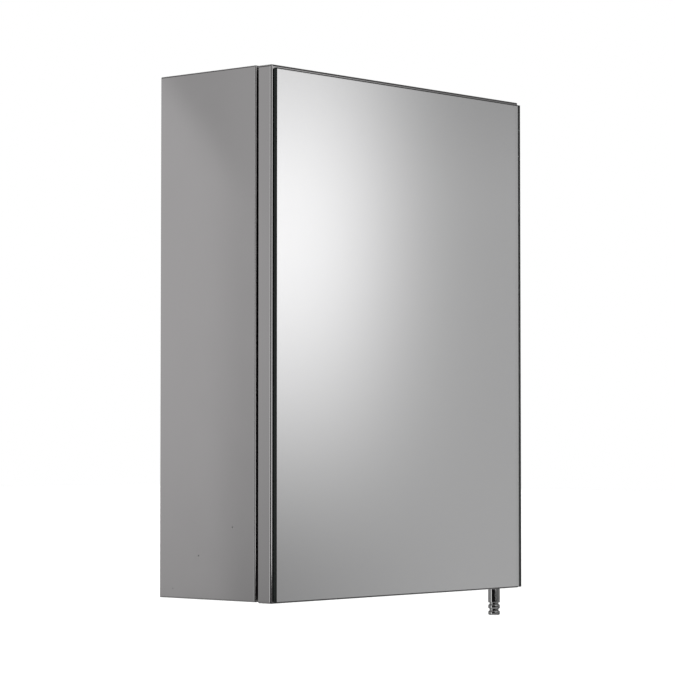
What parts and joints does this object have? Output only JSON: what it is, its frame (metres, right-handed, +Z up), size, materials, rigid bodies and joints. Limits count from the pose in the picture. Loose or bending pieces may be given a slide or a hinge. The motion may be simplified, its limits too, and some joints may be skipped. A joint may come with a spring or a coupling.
{
  "type": "wall-hung mirror cabinet",
  "caption": "Slim wall-hung bathroom cabinet in polished steel sheet: full-size mirror door hinged at the left, fixed shelves inside, turned pull pin under the door.",
  "frame": {"origin": "centre of the back face, on the wall", "axes": "+X to the right seen from the front, +Y into the wall, +Z up; the mirror faces -Y"},
  "size_m": [0.3, 0.12, 0.4221],
  "materials": {
    "polished_sheet": "polished stainless steel sheet, soft reflections",
    "inner_sheet": "plain mill-finish stainless steel sheet",
    "pressed_steel": "pressed and zinc-plated steel",
    "zinc_hardware": "bright zinc-plated screws and nuts",
    "weld_stud": "copper-flashed steel weld stud",
    "spring_steel": "dark oiled spring steel",
    "bearing_plastic": "white acetal",
    "catch_plastic": "white moulded plastic",
    "ferrite": "dark sintered ferrite",
    "buffer_rubber": "soft pale translucent rubber",
    "silvered_glass": "silvered float glass with ground edges",
    "foam_tape": "black double-sided foam tape",
    "turned_steel": "turned and polished stainless steel"
  },
  "bodies": {
    "cabinet": {"cabinet_wrap": "polished_sheet", "back_panel": "inner_sheet", "hanger_plates": "pressed_steel", "upper_shelf": "inner_sheet", "lower_shelf": "inner_sheet", "shelf_angles": "inner_sheet", "shelf_screws": "zinc_hardware", "shelf_nuts": "zinc_hardware", "upper_hinge_bracket": "pressed_steel", "lower_hinge_bracket": "pressed_steel", "upper_hinge_pin": "turned_steel", "lower_hinge_pin": "turned_steel", "hinge_pin_clips": "spring_steel", "hinge_washers": "bearing_plastic", "hinge_studs": "weld_stud", "hinge_nuts": "zinc_hardware", "catch_bracket": "inner_sheet", "catch_housing": "catch_plastic", "catch_magnet": "ferrite", "catch_pole_plates": "pressed_steel", "catch_screws": "zinc_hardware", "catch_nuts": "zinc_hardware", "door_buffers": "buffer_rubber"},
    "door": {"door_pan": "polished_sheet", "door_liner": "inner_sheet", "mirror_glass": "silvered_glass", "mirror_tape": "foam_tape", "upper_hinge_arm": "pressed_steel", "lower_hinge_arm": "pressed_steel", "hinge_arm_screws": "zinc_hardware", "hinge_nut_plates": "pressed_steel", "strike_plate": "pressed_steel", "strike_rivets": "zinc_hardware", "pull_pin": "turned_steel", "pull_washer": "zinc_hardware", "pull_nut": "zinc_hardware"}
  },
  "joints": [
    {"name": "door_hinge", "type": "hinge", "parent": "cabinet", "child": "door", "pos_m": [-0.1425, -0.0898, 0], "axis": [0, 0, -1], "range_deg": [0, 100]}
  ]
}
